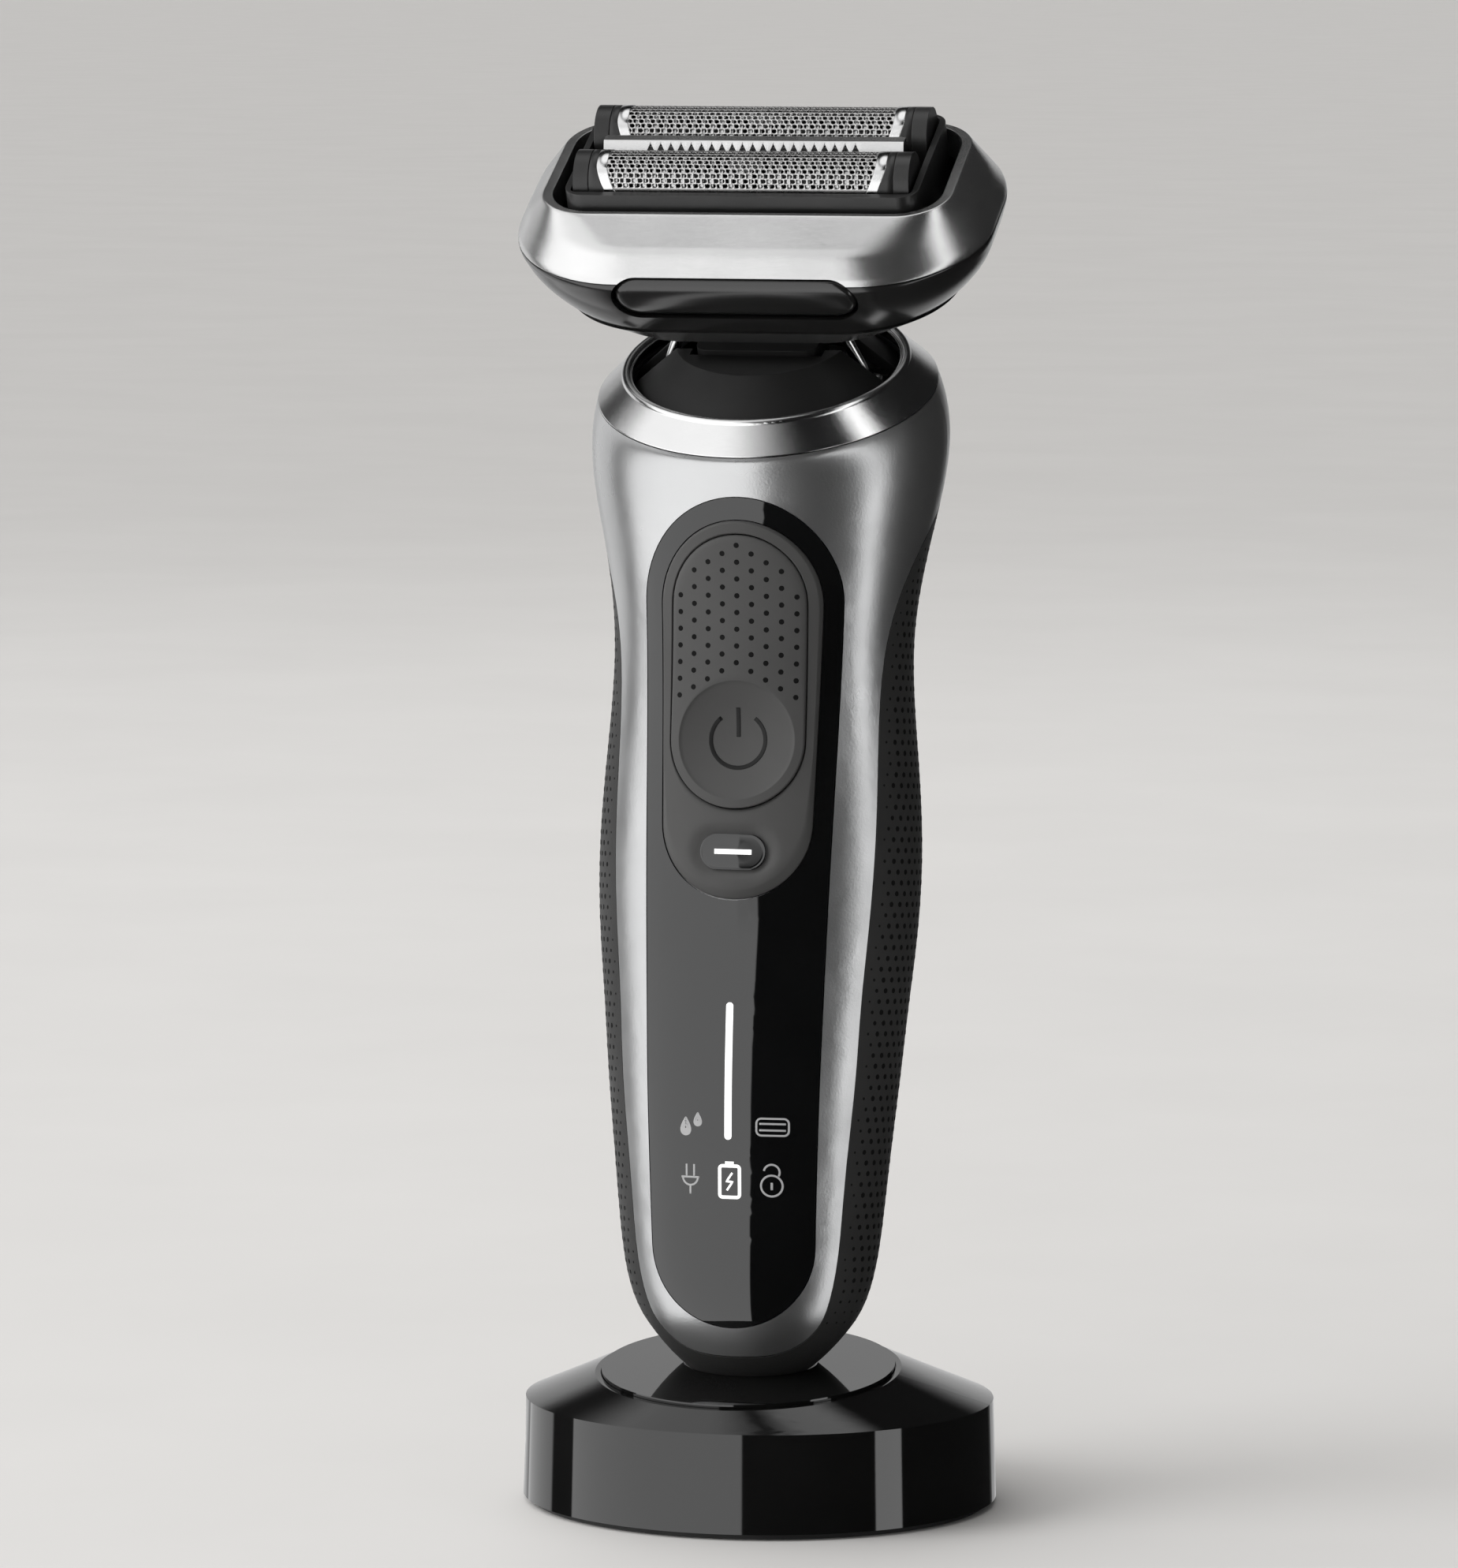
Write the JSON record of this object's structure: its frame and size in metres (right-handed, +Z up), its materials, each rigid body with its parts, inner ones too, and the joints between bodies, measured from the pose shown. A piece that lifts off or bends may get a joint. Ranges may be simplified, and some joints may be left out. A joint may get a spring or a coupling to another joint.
{
  "type": "electric shaver",
  "caption": "Cordless foil shaver with a pitching and rolling head, floating foils and middle trimmer, standing in an oval charging stand.",
  "frame": {"origin": "centre of the stand's foot pad, on the table", "axes": "+Z up, -Y is the front with the display panel, +X to the right seen from the front"},
  "size_m": [0.0602, 0.0546, 0.1751],
  "materials": {
    "silver": "satin lacquer with fine grain",
    "rubber": "matt",
    "chrome": "polished",
    "gloss_black": "polished",
    "soft_grey": "soft touch",
    "black_plastic": "fine texture",
    "light": "frosted",
    "board": "solder resist",
    "cell": "shrink sleeve",
    "steel": "ground",
    "foil": "etched",
    "copper": "bright"
  },
  "bodies": {
    "stand": {"stand_housing": "gloss_black", "stand_seat": "gloss_black", "stand_plug": "black_plastic", "stand_leads": "copper", "stand_base_plate": "black_plastic", "stand_foot_pad": "rubber", "stand_screws": "steel", "stand_weight": "steel", "stand_board": "board", "power_inlet": "black_plastic", "power_inlet_pins": "copper"},
    "handle": {"front_shell": "silver", "rear_grip": "rubber", "display_panel": "gloss_black", "charge_light_bar": "light", "switch_pad": "soft_grey", "mode_window": "gloss_black", "main_board": "board", "board_parts": "black_plastic", "tactile_switch": "black_plastic", "light_guide": "light", "battery_cell": "cell", "battery_tabs": "steel", "handle_chassis": "black_plastic", "housing_screws": "steel", "charge_socket": "black_plastic", "charge_pins": "copper", "pivot_bracket": "steel", "pitch_pin": "steel", "collar_ring": "chrome", "collar_seal": "rubber"},
    "button": {"power_button": "soft_grey"},
    "neck": {"neck_dome": "black_plastic", "neck_block": "black_plastic", "link_pins_lower": "steel"},
    "link_left": {"link_left": "chrome"},
    "link_right": {"link_right": "chrome"},
    "head": {"head_frame": "silver", "head_lower_shell": "gloss_black", "head_bottom_rim": "silver", "head_chassis": "black_plastic", "link_pins_upper": "steel", "motor_core": "steel", "motor_coil": "copper"},
    "mover": {"motor_mover": "steel", "motor_magnets": "steel"},
    "release_front": {"release_button_front": "black_plastic"},
    "release_rear": {"release_button_rear": "black_plastic"},
    "cassette": {"cassette_body": "black_plastic", "float_springs": "steel"},
    "foil_front": {"front_foil": "foil", "front_foil_holder": "black_plastic"},
    "foil_rear": {"rear_foil": "foil", "rear_foil_holder": "black_plastic"},
    "trimmer": {"trimmer_guard": "foil"},
    "cutter_front": {"front_cutter": "steel"},
    "cutter_rear": {"rear_cutter": "steel"},
    "cutter_trimmer": {"trimmer_blade": "steel"}
  },
  "joints": [
    {"name": "shaver_lift", "type": "slide", "parent": "stand", "child": "handle", "axis": [0, 0.1045, 0.9945], "range_m": [0, 0.03]},
    {"name": "power_button_press", "type": "slide", "parent": "handle", "child": "button", "axis": [0, 0.9945, -0.1045], "range_m": [0, 0.0006], "stiffness_N_per_m": 800, "springref_m": -0.0003},
    {"name": "head_pitch", "type": "hinge", "parent": "handle", "child": "neck", "pos_m": [0, 0.00622, 0.13628], "axis": [1, 0, 0], "range_deg": [-20, 20], "stiffness_Nm_per_rad": 0.4},
    {"name": "head_roll", "type": "hinge", "parent": "neck", "child": "head", "pos_m": [0, -0.00975, 0.16903], "axis": [0, 0.8988, 0.4384], "range_deg": [-6, 6], "stiffness_Nm_per_rad": 0.4},
    {"name": "link_left_swing", "type": "hinge", "parent": "neck", "child": "link_left", "pos_m": [-0.0136, 0.00432, 0.14018], "axis": [0, 0.8988, 0.4384], "range_deg": [-10.5, 10.5]},
    {"name": "link_right_swing", "type": "hinge", "parent": "neck", "child": "link_right", "pos_m": [0.0136, 0.00432, 0.14018], "axis": [0, 0.8988, 0.4384], "range_deg": [-10.5, 10.5]},
    {"name": "motor_swing", "type": "slide", "parent": "head", "child": "mover", "axis": [1, 0, 0], "range_m": [-0.0012, 0.0012], "stiffness_N_per_m": 250},
    {"name": "release_front_press", "type": "slide", "parent": "head", "child": "release_front", "axis": [0, 0.8988, 0.4384], "range_m": [0, 0.0015], "stiffness_N_per_m": 600, "springref_m": -0.0003},
    {"name": "release_rear_press", "type": "slide", "parent": "head", "child": "release_rear", "axis": [0, -0.8988, -0.4384], "range_m": [0, 0.0015], "stiffness_N_per_m": 600, "springref_m": -0.0003},
    {"name": "cassette_lift", "type": "slide", "parent": "head", "child": "cassette", "axis": [0, -0.4384, 0.8988], "range_m": [0, 0.02]},
    {"name": "front_foil_float", "type": "slide", "parent": "cassette", "child": "foil_front", "axis": [0, -0.4384, 0.8988], "range_m": [-0.0015, 0], "stiffness_N_per_m": 400, "springref_m": 0.0005},
    {"name": "rear_foil_float", "type": "slide", "parent": "cassette", "child": "foil_rear", "axis": [0, -0.4384, 0.8988], "range_m": [-0.0015, 0], "stiffness_N_per_m": 400, "springref_m": 0.0005},
    {"name": "trimmer_float", "type": "slide", "parent": "cassette", "child": "trimmer", "axis": [0, -0.4384, 0.8988], "range_m": [-0.0015, 0], "stiffness_N_per_m": 400, "springref_m": 0.0005},
    {"name": "front_cutter_drive", "type": "slide", "parent": "foil_front", "child": "cutter_front", "axis": [1, 0, 0], "range_m": [-0.0012, 0.0012]},
    {"name": "rear_cutter_drive", "type": "slide", "parent": "foil_rear", "child": "cutter_rear", "axis": [1, 0, 0], "range_m": [-0.0012, 0.0012]},
    {"name": "trimmer_drive", "type": "slide", "parent": "trimmer", "child": "cutter_trimmer", "axis": [1, 0, 0], "range_m": [-0.0012, 0.0012]}
  ],
  "couplings": [
    {"joint": "link_left_swing", "follows": "head_roll", "ratio": -1.7},
    {"joint": "link_right_swing", "follows": "head_roll", "ratio": -1.7},
    {"joint": "front_cutter_drive", "follows": "motor_swing", "ratio": 1},
    {"joint": "rear_cutter_drive", "follows": "motor_swing", "ratio": 1},
    {"joint": "trimmer_drive", "follows": "motor_swing", "ratio": 1}
  ]
}
